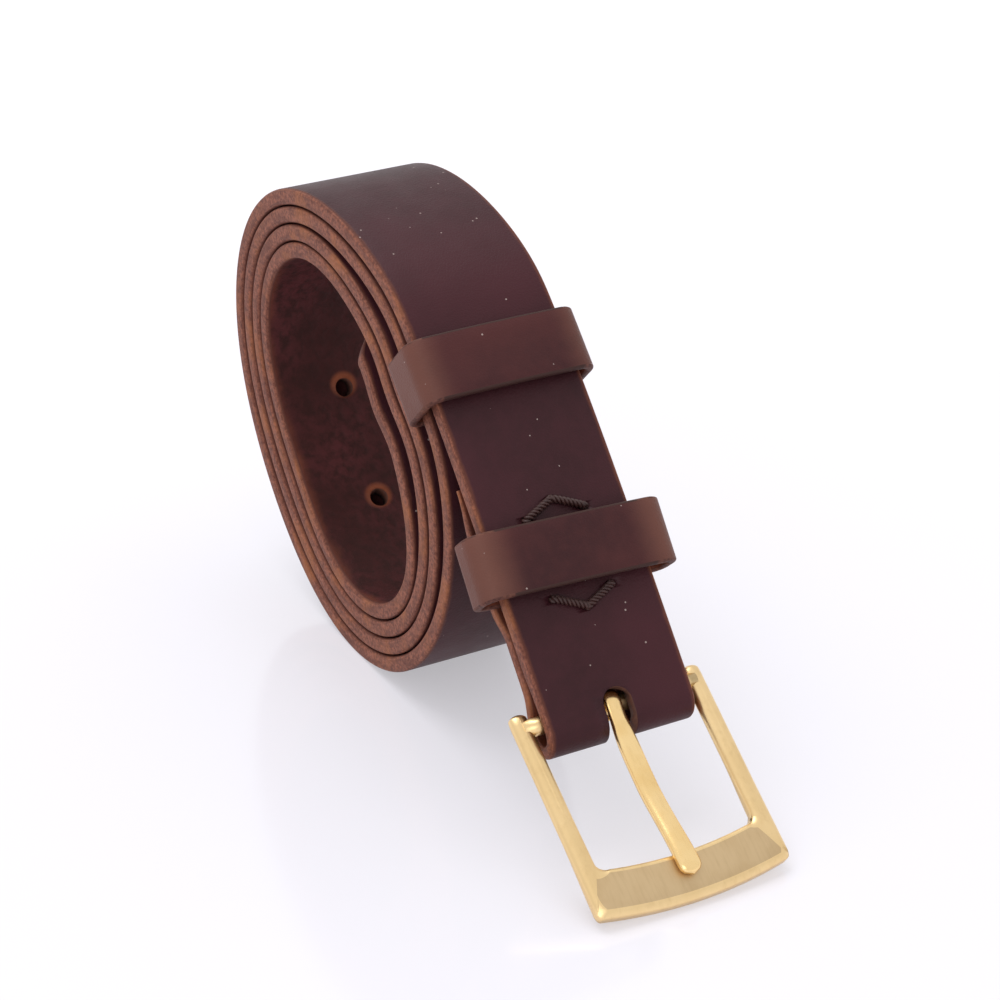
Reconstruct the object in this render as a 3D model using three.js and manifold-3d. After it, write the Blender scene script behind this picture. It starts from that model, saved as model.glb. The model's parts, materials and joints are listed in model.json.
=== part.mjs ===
// A leather belt rolled up and stood on its rim, with the buckle end leaning out in front.
// Frame: millimetres, +Z up, +X from the roll towards the buckle, +Y across the strap.
// The origin is on the table under the middle of the roll.
import * as THREE from "three";
import Module from "manifold-3d";

const wasm = await Module();
wasm.setup();

// ---- driving dimensions -------------------------------------------------------------------
const STRAP_WIDTH = 32;
const STRAP_THICKNESS = 3.5;
const FOLD_THICKNESS = 2.6; // the leather is skived where it bends round the buckle bar
const BACK_THICKNESS = 2.8; // of the turned-back end
const FOLD_DROP = 2; // the fold hangs this far past the bar
const TURN_BACK = 50; // length of the end folded back behind the strap
const SKIVE = 1.6; // taken off the very end of the turned-back part
const TIP_LENGTH = 15;
const CLEARANCE = 0.3; // left between pieces that touch in the real belt

const ROLL_CENTRE = new THREE.Vector2(5.2, 49.8);
const ROLL_RADIUS = 51.7; // mean radius of the outermost turn
const ROLL_OVAL = 2.6; // how much the roll is drawn out along its long axis
const ROLL_SAG = 1.2; // how much it sags to three soft corners
const LAYER_PITCH = 4.45; // mean distance from one turn to the next
const LAYER_LOOSENESS = 0.65; // the turns lie closer at top and bottom than at the sides
const STRAP_DENT = 2.2; // the leaning strap flattens the roll under the free keeper
const KEEPER_ROOM = 2.6; // the free keeper's back holds the outer turn off the next one
const TIP_SPRING = 3.2; // the free tip springs in from the turn outside it
const DEPARTURE = 50; // degrees round the roll where the strap leaves it
const TIP_ANGLE = 1497; // degrees round the roll where the square part of the tip ends

const HOLE_DIAMETER = 4.4;
const HOLE_PITCH = 27;
const HOLES = 4;
const TIP_TO_HOLE = 71;

const KEEPER_LENGTH = 13.4; // along the strap
const KEEPER_THICKNESS = 1.8;
const KEEPER_SKEW = 2; // degrees the fixed keeper has turned on the strap
const FIXED_KEEPER_AT = 32; // along the strap from the fold
const FREE_KEEPER_AT = 72.8;
const FIXED_KEEPER_HALF_WIDTH = 21.4;
const FIXED_KEEPER_TOP = 4.6; // its outer face above the strap's grain face
const FREE_KEEPER_HALF_WIDTH = 18.9;
const FREE_KEEPER_TOP = 3.7;
const LEAN_GAP = 2.1; // between the leaning strap and the turn under it, at the free keeper

const THREAD_DIAMETER = 1.3;
const LACE_HALF_WIDTH = 6.5;
const LACE_HALF_LENGTH = 8;
const LACE_APEX = 11;

const BAR_RADIUS = 1.8;
const BUCKLE_HALF_WIDTH = 21.2;
const BUCKLE_REACH = 41.6; // bar axis to the middle of the front edge
const FRONT_BOW = 1.9; // how far the front edge bows out
const WINDOW_BOW = 1.2;
const FRONT_WIDTH = 9.4;
const ARM_END = 2.9; // the arms run on past the bar axis
const ARM_WIDTH = 4;
const FRAME_THICKNESS = 3;
const PRONG_REACH = 37.8;
const PRONG_WIDTH = 4.2;
const PRONG_OFFSET = -0.3; // prong and slot sit a little off the middle
const BUCKLE_SLOPE = 34.8; // degrees below level
const STRAP_SLOPE = 49;
const LEAN_HANDLE = 24; // how far each end's direction carries into the leaning stretch

const SLOT_WIDTH = 6.2;
const SLOT_LENGTH = 2.8; // above the bar axis
const EYE_WALL = 1.1; // of the prong's curl round the bar

const rad = THREE.MathUtils.degToRad;
const smooth = THREE.MathUtils.smoothstep;
const FOLD_RADIUS = BAR_RADIUS + CLEARANCE + FOLD_THICKNESS;

// ---- solids -------------------------------------------------------------------------------
// A geometry as a manifold-3d solid: vertices merged by position.
function solid(geometry) {
  const source = geometry.index ? geometry.toNonIndexed() : geometry;
  const position = source.getAttribute("position");
  const seen = new Map();
  const vertices = [];
  const triangles = [];
  for (let i = 0; i < position.count; i++) {
    const p = [position.getX(i), position.getY(i), position.getZ(i)];
    const key = p.map((c) => Math.round(c * 1e4)).join();
    if (!seen.has(key)) {
      seen.set(key, vertices.length / 3);
      vertices.push(...p);
    }
    triangles.push(seen.get(key));
  }
  const kept = [];
  for (let i = 0; i < triangles.length; i += 3) {
    const [a, b, c] = triangles.slice(i, i + 3);
    if (a !== b && b !== c && a !== c) kept.push(a, b, c);
  }
  return new wasm.Manifold(
    new wasm.Mesh({
      numProp: 3,
      vertProperties: new Float32Array(vertices),
      triVerts: new Uint32Array(kept),
    }),
  );
}

function geometryOf(body) {
  const mesh = body.getMesh();
  const geometry = new THREE.BufferGeometry();
  geometry.setAttribute("position", new THREE.BufferAttribute(new Float32Array(mesh.vertProperties), 3));
  geometry.setIndex(new THREE.BufferAttribute(new Uint32Array(mesh.triVerts), 1));
  return geometry.toNonIndexed();
}

function named(name, body, color, roughness, metalness) {
  const geometry = geometryOf(body);
  geometry.computeVertexNormals();
  const material = new THREE.MeshStandardMaterial({ color, roughness, metalness });
  const mesh = new THREE.Mesh(geometry, material);
  mesh.name = name;
  return mesh;
}

// A shape drawn in X and Z, made `width` thick across Y about Y = 0.
function acrossStrap(shape, width, curveSegments = 12) {
  const geometry = new THREE.ExtrudeGeometry(shape, { depth: width, bevelEnabled: false, curveSegments });
  geometry.rotateX(Math.PI / 2);
  geometry.translate(0, width / 2, 0);
  return solid(geometry);
}

// The frame of a place on the strap: first axis along the strap, second Y, third out of its face.
function placed(body, at, along) {
  const outward = new THREE.Vector3(-along.y, 0, along.x).normalize();
  const first = new THREE.Vector3(along.x, 0, along.y).normalize();
  const basis = new THREE.Matrix4().makeBasis(first, new THREE.Vector3(0, 1, 0), outward);
  basis.setPosition(at.x, 0, at.y);
  return body.transform(basis.elements);
}

// ---- path of the strap's grain face ---------------------------------------------------------
// Angles count from +X over the top (+Z) and on round the back; each further turn adds 360.
function bump(angle, centre, width) {
  const off = ((((angle - centre + 180) % 360) + 360) % 360) - 180;
  return Math.exp(-((off / width) ** 2));
}

function outerRadius(angle) {
  const oval = ROLL_OVAL * Math.cos(rad(2 * (angle + 32)));
  const sag = ROLL_SAG * Math.cos(rad(3 * (angle - 31)));
  return ROLL_RADIUS + oval + sag - STRAP_DENT * bump(angle, 38, 15);
}

function inset(angle) {
  const turns = (angle - 90) / 360;
  const pitch = LAYER_PITCH + LAYER_LOOSENESS * Math.cos(rad(2 * (angle - 30)));
  const front = Math.cos(rad(angle - 35)) > 0 ? Math.cos(rad(angle - 35)) ** 2 : 0;
  const room = angle > 35 + 450 ? KEEPER_ROOM * front : 0;
  const spring = TIP_SPRING * smooth(angle, TIP_ANGLE - 95, TIP_ANGLE - 45);
  return turns * pitch + room + spring;
}

function rollPoint(angle) {
  const r = outerRadius(angle) - inset(angle);
  return new THREE.Vector2(Math.cos(rad(angle)), Math.sin(rad(angle))).multiplyScalar(r).add(ROLL_CENTRE);
}

const BAR = new THREE.Vector2(
  89.2,
  BUCKLE_REACH * Math.sin(rad(BUCKLE_SLOPE)) + (FRAME_THICKNESS / 2) * Math.cos(rad(BUCKLE_SLOPE)),
);
const downStrap = new THREE.Vector2(Math.cos(rad(STRAP_SLOPE)), -Math.sin(rad(STRAP_SLOPE)));
const outOfStrap = new THREE.Vector2(-downStrap.y, downStrap.x);
const foldCentre = BAR.clone().addScaledVector(downStrap, FOLD_DROP);
const foldStart = foldCentre.clone().addScaledVector(outOfStrap, FOLD_RADIUS);

// The leaning stretch, from the fold up to where it meets the roll.
const leave = rollPoint(DEPARTURE);
const leaveHeading = rollPoint(DEPARTURE).sub(rollPoint(DEPARTURE + 0.5)).normalize();
const leaning = new THREE.CubicBezierCurve(
  foldStart,
  foldStart.clone().addScaledVector(downStrap, -LEAN_HANDLE),
  leave.clone().addScaledVector(leaveHeading, LEAN_HANDLE),
  leave,
);

// Place on the leaning stretch at a distance from the fold: point on the grain face and heading.
function onStrap(distance) {
  const u = distance / leaning.getLength();
  const heading = leaning.getTangentAt(u);
  return { at: leaning.getPointAt(u), up: heading, down: heading.clone().negate() };
}

// ---- strap ----------------------------------------------------------------------------------
function inwardOf(heading) {
  return new THREE.Vector2(-heading.y, heading.x);
}

// Stations along the strap from the skived end to the tip: grain-face point and flesh-face point.
function strapStations() {
  const stations = [];
  const add = (grain, flesh) => stations.push({ grain, flesh });

  // The turned-back end lies behind the leaning stretch, its flesh side towards it.
  for (let distance = TURN_BACK; distance >= 0; distance -= 2.5) {
    const { at, up } = onStrap(distance);
    const fromBar = 2 * FOLD_RADIUS - FOLD_THICKNESS;
    const behindKeeper = STRAP_THICKNESS + 2 * CLEARANCE + KEEPER_THICKNESS;
    const depth =
      THREE.MathUtils.lerp(fromBar, behindKeeper, smooth(distance, 0, 12)) -
      (KEEPER_THICKNESS + CLEARANCE) * smooth(distance, 40, TURN_BACK);
    const thick =
      THREE.MathUtils.lerp(FOLD_THICKNESS, BACK_THICKNESS, smooth(distance, 4, 14)) -
      SKIVE * smooth(distance, 36, TURN_BACK);
    const inward = inwardOf(up);
    add(at.clone().addScaledVector(inward, depth + thick), at.clone().addScaledVector(inward, depth));
  }

  // The fold round the bar.
  const BEND_STEPS = 12;
  for (let i = 1; i < BEND_STEPS; i++) {
    const turn = rad(90 - STRAP_SLOPE - 180 + (180 * i) / BEND_STEPS);
    const spoke = new THREE.Vector2(Math.cos(turn), Math.sin(turn));
    add(
      foldCentre.clone().addScaledVector(spoke, FOLD_RADIUS),
      foldCentre.clone().addScaledVector(spoke, FOLD_RADIUS - FOLD_THICKNESS),
    );
  }

  // The leaning stretch.
  const length = leaning.getLength();
  const LEAN_STEPS = 32;
  for (let i = 0; i <= LEAN_STEPS; i++) {
    const distance = (length * i) / LEAN_STEPS;
    const { at, up } = onStrap(distance);
    const thick = THREE.MathUtils.lerp(FOLD_THICKNESS, STRAP_THICKNESS, smooth(distance, 2, 14));
    add(at, at.clone().addScaledVector(inwardOf(up), thick));
  }

  // The roll, from where the leaning stretch meets it to the tip.
  const STEP = 6;
  const end = TIP_ANGLE + tipAngle();
  const steps = Math.round((end - DEPARTURE) / STEP);
  for (let i = 1; i <= steps; i++) {
    const angle = DEPARTURE + ((end - DEPARTURE) * i) / steps;
    const at = rollPoint(angle);
    const heading = rollPoint(angle + 0.5).sub(rollPoint(angle - 0.5)).normalize();
    add(at, at.clone().addScaledVector(inwardOf(heading), STRAP_THICKNESS));
  }
  return stations;
}

// Degrees of roll that the pointed tip takes up past TIP_ANGLE.
function tipAngle() {
  const r = rollPoint(TIP_ANGLE).sub(ROLL_CENTRE).length() - STRAP_THICKNESS / 2;
  return THREE.MathUtils.radToDeg(TIP_LENGTH / r);
}

// Angle on the roll a distance back from the end of the tip.
function angleBeforeTip(distance) {
  let angle = TIP_ANGLE + tipAngle();
  let left = distance;
  while (left > 0) {
    left -= rollPoint(angle).distanceTo(rollPoint(angle - 0.5));
    angle -= 0.5;
  }
  return angle;
}

function cylinder(diameter, length, segments = 20) {
  const geometry = new THREE.CylinderGeometry(diameter / 2, diameter / 2, length, segments);
  geometry.rotateX(Math.PI / 2);
  return solid(geometry);
}

// Cutters for the adjustment holes, in the innermost turn.
function adjustmentHoles() {
  const cutters = [];
  for (let i = 0; i < HOLES; i++) {
    const angle = angleBeforeTip(TIP_TO_HOLE + i * HOLE_PITCH);
    const heading = rollPoint(angle + 0.5).sub(rollPoint(angle - 0.5)).normalize();
    const middle = rollPoint(angle).addScaledVector(inwardOf(heading), STRAP_THICKNESS / 2);
    cutters.push(placed(cylinder(HOLE_DIAMETER, STRAP_THICKNESS + 0.3), middle, heading));
  }
  return cutters;
}

// The two sides cut away from the end to leave the point: an arc each side.
function tipCutters() {
  const half = STRAP_WIDTH / 2;
  const depth = STRAP_THICKNESS + 2.6;
  const outline = new THREE.Shape();
  outline.moveTo(0, half + 2);
  outline.lineTo(0, half);
  outline.quadraticCurveTo(TIP_LENGTH * 0.75, half * 0.62, TIP_LENGTH, 0);
  outline.lineTo(TIP_LENGTH + 4, 0);
  outline.lineTo(TIP_LENGTH + 4, half + 2);
  const side = new THREE.ExtrudeGeometry(outline, {
    depth,
    bevelEnabled: false,
    curveSegments: 8,
  });
  side.translate(-TIP_LENGTH / 2, 0, -depth / 2);
  const angle = TIP_ANGLE + tipAngle() / 2;
  const heading = rollPoint(angle + 1).sub(rollPoint(angle - 1)).normalize();
  const middle = rollPoint(angle).addScaledVector(inwardOf(heading), STRAP_THICKNESS / 2);
  const left = solid(side);
  const right = left.mirror([0, 1, 0]);
  return [left, right].map((cutter) => placed(cutter, middle, heading));
}

// The oblong slot that lets the prong through the fold.
function slotCutter() {
  const outline = new THREE.Shape();
  const half = SLOT_WIDTH / 2;
  outline.moveTo(12, -half);
  outline.lineTo(12, half);
  outline.lineTo(-SLOT_LENGTH + half, half);
  outline.absarc(-SLOT_LENGTH + half, 0, half, Math.PI / 2, (3 * Math.PI) / 2, false);
  const geometry = new THREE.ExtrudeGeometry(outline, { depth: 24, bevelEnabled: false, curveSegments: 10 });
  geometry.translate(0, PRONG_OFFSET, -12);
  // Room for the prong's curl inside the fold.
  const curl = new THREE.CylinderGeometry(1, 1, SLOT_WIDTH, 24);
  const roomRadius = BAR_RADIUS + 2 * CLEARANCE + EYE_WALL;
  curl.scale(roomRadius, 1, roomRadius);
  curl.translate(0, PRONG_OFFSET, 0);
  return placed(solid(geometry).add(solid(curl)), BAR, downStrap);
}

// The six lacing holes: two apexes and four corners, as offsets along and across the strap.
const LACE_HOLES = [
  [-LACE_HALF_LENGTH, -LACE_HALF_WIDTH],
  [-LACE_APEX, 0],
  [-LACE_HALF_LENGTH, LACE_HALF_WIDTH],
  [LACE_HALF_LENGTH, LACE_HALF_WIDTH],
  [LACE_APEX, 0],
  [LACE_HALF_LENGTH, -LACE_HALF_WIDTH],
];

const laced = onStrap(FIXED_KEEPER_AT);
const STACK = STRAP_THICKNESS + 2 * CLEARANCE + KEEPER_THICKNESS + BACK_THICKNESS;

function laceHoleCutters() {
  return LACE_HOLES.map(([along, across]) => {
    const drill = cylinder(THREAD_DIAMETER + 2 * CLEARANCE, STACK + 4, 10);
    return placed(drill.translate([along, across, -STACK / 2]), laced.at, laced.down);
  });
}

function strap() {
  const stations = strapStations();
  const outline = stations.map((s) => s.grain);
  outline.push(...stations.map((s) => s.flesh).reverse());
  let body = acrossStrap(new THREE.Shape(outline), STRAP_WIDTH);
  const cutters = [...adjustmentHoles(), ...tipCutters(), slotCutter(), ...laceHoleCutters()];
  for (const cutter of cutters) body = body.subtract(cutter);
  return named("strap", body, "#3b2023", 0.5, 0);
}

// ---- keepers ----------------------------------------------------------------------------------
// A leather band closed round the strap, seen along the strap: flat behind, arched in front.
function keeperBand(halfWidth, top, bottom) {
  const loop = (grow, clockwise) => {
    const path = clockwise ? new THREE.Path() : new THREE.Shape();
    const w = halfWidth - KEEPER_THICKNESS + grow;
    const high = top - KEEPER_THICKNESS + grow;
    const low = bottom + KEEPER_THICKNESS - grow;
    const round = 1.6 + grow;
    path.moveTo(-w + round, low);
    path.lineTo(w - round, low);
    path.absarc(w - round, low + round, round, -Math.PI / 2, 0, false);
    path.lineTo(w, high - 2.4);
    path.quadraticCurveTo(w, high - 0.6, w - 3, high - 0.5);
    path.quadraticCurveTo(0, high + 0.5, -w + 3, high - 0.5);
    path.quadraticCurveTo(-w, high - 0.6, -w, high - 2.4);
    path.lineTo(-w, low + round);
    path.absarc(-w + round, low + round, round, Math.PI, 1.5 * Math.PI, false);
    return path;
  };
  const shape = loop(KEEPER_THICKNESS, false);
  shape.holes.push(loop(0, true));
  const geometry = new THREE.ExtrudeGeometry(shape, {
    depth: KEEPER_LENGTH,
    bevelEnabled: false,
    curveSegments: 8,
  });
  geometry.translate(0, 0, -KEEPER_LENGTH / 2);
  // Drawn as across, out; turned so that it is along, across, out.
  const turn = new THREE.Matrix4().makeBasis(
    new THREE.Vector3(0, 1, 0),
    new THREE.Vector3(0, 0, 1),
    new THREE.Vector3(1, 0, 0),
  );
  geometry.applyMatrix4(turn);
  return solid(geometry);
}

function fixedKeeper() {
  const bottom = -STRAP_THICKNESS - CLEARANCE - KEEPER_THICKNESS;
  const band = keeperBand(FIXED_KEEPER_HALF_WIDTH, FIXED_KEEPER_TOP, bottom).rotate([0, 0, -KEEPER_SKEW]);
  return named("fixed_keeper", placed(band, laced.at, laced.down), "#432427", 0.5, 0);
}

function freeKeeper() {
  const place = onStrap(FREE_KEEPER_AT);
  const bottom = -(2 * STRAP_THICKNESS + LEAN_GAP + CLEARANCE + KEEPER_THICKNESS);
  const band = keeperBand(FREE_KEEPER_HALF_WIDTH, FREE_KEEPER_TOP, bottom);
  return named("free_keeper", placed(band, place.at, place.down), "#452628", 0.5, 0);
}

// ---- lacing -----------------------------------------------------------------------------------
function thread(from, to) {
  const start = new THREE.Vector3(...from);
  const end = new THREE.Vector3(...to);
  const rod = new THREE.CylinderGeometry(THREAD_DIAMETER / 2, THREAD_DIAMETER / 2, start.distanceTo(end), 8);
  const way = end.clone().sub(start).normalize();
  rod.applyQuaternion(new THREE.Quaternion().setFromUnitVectors(new THREE.Vector3(0, 1, 0), way));
  rod.translate(...start.clone().add(end).multiplyScalar(0.5).toArray());
  return solid(rod);
}

function knuckle(at) {
  const ball = new THREE.SphereGeometry(THREAD_DIAMETER / 2 + 0.02, 8, 6);
  ball.translate(...at);
  return solid(ball);
}

// Two stitched chevrons on the face, a closed hexagon behind, joined through the six holes.
function lacing() {
  const front = THREAD_DIAMETER / 2 + CLEARANCE;
  const back = -STACK - THREAD_DIAMETER / 2 - CLEARANCE;
  let body = null;
  const join = (piece) => {
    body = body ? body.add(piece) : piece;
  };
  LACE_HOLES.forEach(([along, across], i) => {
    const [nextAlong, nextAcross] = LACE_HOLES[(i + 1) % LACE_HOLES.length];
    join(thread([along, across, front], [along, across, back]));
    join(knuckle([along, across, front]));
    join(knuckle([along, across, back]));
    join(thread([along, across, back], [nextAlong, nextAcross, back]));
    const besideKeeper = along * nextAlong < 0;
    if (!besideKeeper) join(thread([along, across, front], [nextAlong, nextAcross, front]));
  });
  return named("lacing", placed(body, laced.at, laced.down), "#2a1512", 0.6, 0);
}

// ---- buckle -----------------------------------------------------------------------------------
const downBuckle = new THREE.Vector2(Math.cos(rad(BUCKLE_SLOPE)), -Math.sin(rad(BUCKLE_SLOPE)));

function buckleFrame() {
  const CHAMFER = 0.6;
  const plate = new THREE.ExtrudeGeometry(frameOutline(CHAMFER), {
    depth: FRAME_THICKNESS - 2 * CHAMFER,
    bevelEnabled: true,
    bevelThickness: CHAMFER,
    bevelSize: CHAMFER,
    bevelSegments: 2,
    curveSegments: 10,
  });
  plate.translate(0, 0, -FRAME_THICKNESS / 2 + CHAMFER);
  let body = solid(plate);
  const ends = BUCKLE_HALF_WIDTH - ARM_WIDTH / 2;
  const bar = new THREE.CylinderGeometry(BAR_RADIUS, BAR_RADIUS, 2 * ends, 20);
  body = body.add(solid(bar));
  return named("buckle_frame", placed(body, BAR, downBuckle), "#a8854f", 0.35, 1);
}

// The two arms and the front bar, seen from above: first axis down the buckle, second across.
// The outline is drawn `amount` inside the finished edge.
function frameOutline(amount) {
  const corner = BUCKLE_REACH - FRONT_BOW;
  const half = BUCKLE_HALF_WIDTH - amount;
  const inner = BUCKLE_HALF_WIDTH - ARM_WIDTH + amount;
  const edge = BUCKLE_REACH - FRONT_WIDTH - WINDOW_BOW + amount;
  const round = 2.6;
  const shape = new THREE.Shape();
  const end = -ARM_END + amount;
  shape.moveTo(end + 1, -half);
  shape.lineTo(corner - 2, -half);
  shape.quadraticCurveTo(corner - amount, -half, corner - amount + 0.4, -half + 1.8);
  shape.quadraticCurveTo(BUCKLE_REACH + FRONT_BOW - amount, 0, corner - amount + 0.4, half - 1.8);
  shape.quadraticCurveTo(corner - amount, half, corner - 2, half);
  shape.lineTo(end + 1, half);
  shape.quadraticCurveTo(end, (half + inner) / 2, end + 1, inner);
  shape.lineTo(edge - round, inner);
  shape.quadraticCurveTo(edge, inner, edge + 0.4, inner - round);
  shape.quadraticCurveTo(edge + 2 * WINDOW_BOW, 0, edge + 0.4, -inner + round);
  shape.quadraticCurveTo(edge, -inner, edge - round, -inner);
  shape.lineTo(end + 1, -inner);
  shape.quadraticCurveTo(end, -(half + inner) / 2, end + 1, -half);
  return shape;
}

// The prong: an eye round the bar and a gently bent tongue lying on the front bar.
function prong() {
  const EYE_RADIUS = BAR_RADIUS + CLEARANCE;
  const THICK = 2.4;
  const rest = FRAME_THICKNESS / 2 + CLEARANCE;
  const eyeOuter = EYE_RADIUS + EYE_WALL;
  const window = BUCKLE_REACH - FRONT_WIDTH;
  const side = new THREE.Shape();
  side.moveTo(0, eyeOuter);
  side.bezierCurveTo(2.5, eyeOuter, 4, THICK - 0.6, 10, THICK - 0.7);
  side.bezierCurveTo(20, THICK - 0.7, 24, rest + THICK, window + 0.5, rest + THICK);
  side.quadraticCurveTo(PRONG_REACH, rest + THICK - 0.4, PRONG_REACH, rest + 0.9);
  side.quadraticCurveTo(PRONG_REACH, rest, PRONG_REACH - 1.4, rest);
  side.lineTo(window - 0.5, rest);
  side.bezierCurveTo(26, rest, 20, -0.9, 12, -0.7);
  side.quadraticCurveTo(7, -0.7, eyeOuter * 0.9, -eyeOuter * 0.436);
  side.absarc(0, 0, eyeOuter, rad(-26), rad(-270), true);
  const eye = new THREE.Path();
  eye.absarc(0, 0, EYE_RADIUS, 0, 2 * Math.PI, false);
  side.holes.push(eye);
  const plan = new THREE.Shape();
  plan.moveTo(-10, -PRONG_WIDTH / 2);
  plan.lineTo(PRONG_REACH - PRONG_WIDTH / 2, -PRONG_WIDTH / 2);
  plan.absarc(PRONG_REACH - PRONG_WIDTH / 2, 0, PRONG_WIDTH / 2, -Math.PI / 2, Math.PI / 2, false);
  plan.lineTo(-10, PRONG_WIDTH / 2);
  const column = new THREE.ExtrudeGeometry(plan, { depth: 24, bevelEnabled: false, curveSegments: 10 });
  column.translate(0, 0, -12);
  const body = acrossStrap(side, PRONG_WIDTH, 10).intersect(solid(column)).translate([0, PRONG_OFFSET, 0]);
  return named("prong", placed(body, BAR, downBuckle), "#a8854f", 0.3, 1);
}

const belt = new THREE.Group();
belt.name = "belt";
belt.add(strap(), fixedKeeper(), freeKeeper(), lacing(), buckleFrame(), prong());

export default belt;
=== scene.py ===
import json
import math

import bmesh
import bpy
import numpy as np
from mathutils import Matrix, Vector


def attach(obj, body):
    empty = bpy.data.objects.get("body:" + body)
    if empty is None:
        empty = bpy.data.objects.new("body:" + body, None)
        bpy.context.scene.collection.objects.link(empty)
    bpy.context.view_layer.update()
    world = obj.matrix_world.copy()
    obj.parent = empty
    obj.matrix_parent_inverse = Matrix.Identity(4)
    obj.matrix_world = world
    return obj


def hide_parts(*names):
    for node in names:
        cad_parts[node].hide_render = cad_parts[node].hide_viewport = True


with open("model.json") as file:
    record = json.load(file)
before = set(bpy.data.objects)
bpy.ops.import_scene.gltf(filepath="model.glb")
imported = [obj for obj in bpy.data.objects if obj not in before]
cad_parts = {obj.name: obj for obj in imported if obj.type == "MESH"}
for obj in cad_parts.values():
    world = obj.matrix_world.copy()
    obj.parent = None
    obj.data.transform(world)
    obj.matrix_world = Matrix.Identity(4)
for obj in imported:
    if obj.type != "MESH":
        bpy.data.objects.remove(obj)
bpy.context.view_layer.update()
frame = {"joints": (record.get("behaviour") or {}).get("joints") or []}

MM = 0.001

# ---- driving dimensions, in millimetres -------------------------------------------------------
STRAP_WIDTH = 32.0
STRAP_THICKNESS = 3.5
FOLD_THICKNESS = 2.6  # the leather is skived where it bends round the bar
FOLD_DROP = 2.0  # the fold hangs this far past the bar
BACK_THICKNESS = 2.5  # of the turned-back end
TURN_BACK = 50.0  # length of the end folded back behind the strap
SKIVE = 1.4  # taken off the very end of the turned-back part
ARRIS_GRAIN = 0.75  # radius of the strap's edge on the grain side
ARRIS_FLESH = 0.9
TIP_LENGTH = 15.0
ROLL_CENTRE = np.array([5.2, 49.8])
ROLL_RADIUS = 51.7  # mean radius of the outermost turn
ROLL_OVAL = 2.6  # how much the roll is drawn out along its long axis
ROLL_SAG = 1.2  # how much it sags to three soft corners
LAYER_PITCH = 4.45  # mean distance from one turn to the next
LAYER_LOOSENESS = 0.65  # the turns lie closer at top and bottom than at the sides
STRAP_DENT = 2.2  # the leaning strap flattens the roll under the free keeper
KEEPER_ROOM = 2.6  # the free keeper's back holds the outer turn off the next one
TIP_SPRING = 3.2  # the free tip springs in from the turn outside it
DEPARTURE = 50.0  # degrees round the roll where the strap leaves it
TIP_ANGLE = 1497.0  # degrees round the roll where the square part of the tip ends
STRAP_SLOPE = math.radians(49)
BUCKLE_SLOPE = math.radians(34.8)
LEAN_HANDLE = 24.0  # how far each end's direction carries into the leaning stretch

HOLE_DIAMETER = 4.1
HOLE_PITCH = 27.0
HOLES = 4
TIP_TO_HOLE = 71.0
SLOT_WIDTH = 6.2
SLOT_LENGTH = 2.8  # above the bar's axis

KEEPER_LENGTH = 13.4
KEEPER_THICKNESS = 1.8
KEEPER_SKEW = math.radians(2)
FIXED_KEEPER_AT = 32.0  # along the strap from the fold
FREE_KEEPER_AT = 72.8
FIXED_KEEPER_HALF_WIDTH = 21.4
FIXED_KEEPER_TOP = 4.6  # its outer face above the strap's grain face
FREE_KEEPER_HALF_WIDTH = 18.9
FREE_KEEPER_TOP = 3.7
KEEPER_BEND = 3.2  # radius of the band's middle line at its front corners
KEEPER_BACK_BEND = 2.4
KEEPER_ROUND = 0.55  # how far the band's own edges are rounded
LEAN_GAP = 2.1  # between the leaning strap and the turn under it, at the free keeper
CLEARANCE = 0.3

THREAD_DIAMETER = 1.6
LACE_HALF_WIDTH = 6.5
LACE_HALF_LENGTH = 8.0
LACE_APEX = 11.0
LACE_HOLE_RADIUS = 0.85
THREAD_PITCH = 2.6  # one turn of a ply
THREAD_PLIES = 3

BAR_RADIUS = 1.8
BUCKLE_HALF_WIDTH = 21.2
ARM_WIDTH = 4.0
ARM_END = 2.4
FRAME_THICKNESS = 3.0
BUCKLE_REACH = 41.6
FRONT_BOW = 1.9
FRONT_WIDTH = 9.4
WINDOW_BOW = 1.2
PRONG_REACH = 38.0
PRONG_WIDTH = 4.3
PRONG_OFFSET = -0.3
PRONG_CURL_WALL = 1.1

CAMERA_PLACE = (484.6, -241.5, 313.0)
CAMERA_AZIMUTH = 61.19
CAMERA_ELEVATION = 27.76
CAMERA_ROLL = 0.16
CAMERA_LENS = 102.05
FLOOR_HALF_SIZE = 6000.0

joint_at = {j["name"]: j.get("pos_m") for j in frame["joints"]}
BAR = np.array([joint_at["buckle_turn"][0], joint_at["buckle_turn"][2]]) / MM
FOLD_RADIUS = BAR_RADIUS + CLEARANCE + FOLD_THICKNESS
DOWN_STRAP = np.array([math.cos(STRAP_SLOPE), -math.sin(STRAP_SLOPE)])
FOLD_CENTRE = BAR + DOWN_STRAP * FOLD_DROP
DOWN_BUCKLE = np.array([math.cos(BUCKLE_SLOPE), -math.sin(BUCKLE_SLOPE)])


def smooth(x, low, high):
    t = np.clip((x - low) / (high - low), 0, 1)
    return t * t * (3 - 2 * t)


def mix(a, b, t):
    return a + (b - a) * t


def left_of(direction):
    """The direction turned a quarter turn against the clock, in X and Z."""
    return np.array([-direction[1], direction[0]])


def unit(v):
    return v / np.linalg.norm(v)


def cubic(a, b, c, d, t):
    """A point of the cubic curve from a to d with handles b and c."""
    return (1 - t) ** 3 * a + 3 * (1 - t) ** 2 * t * b + 3 * (1 - t) * t * t * c + t**3 * d


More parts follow.
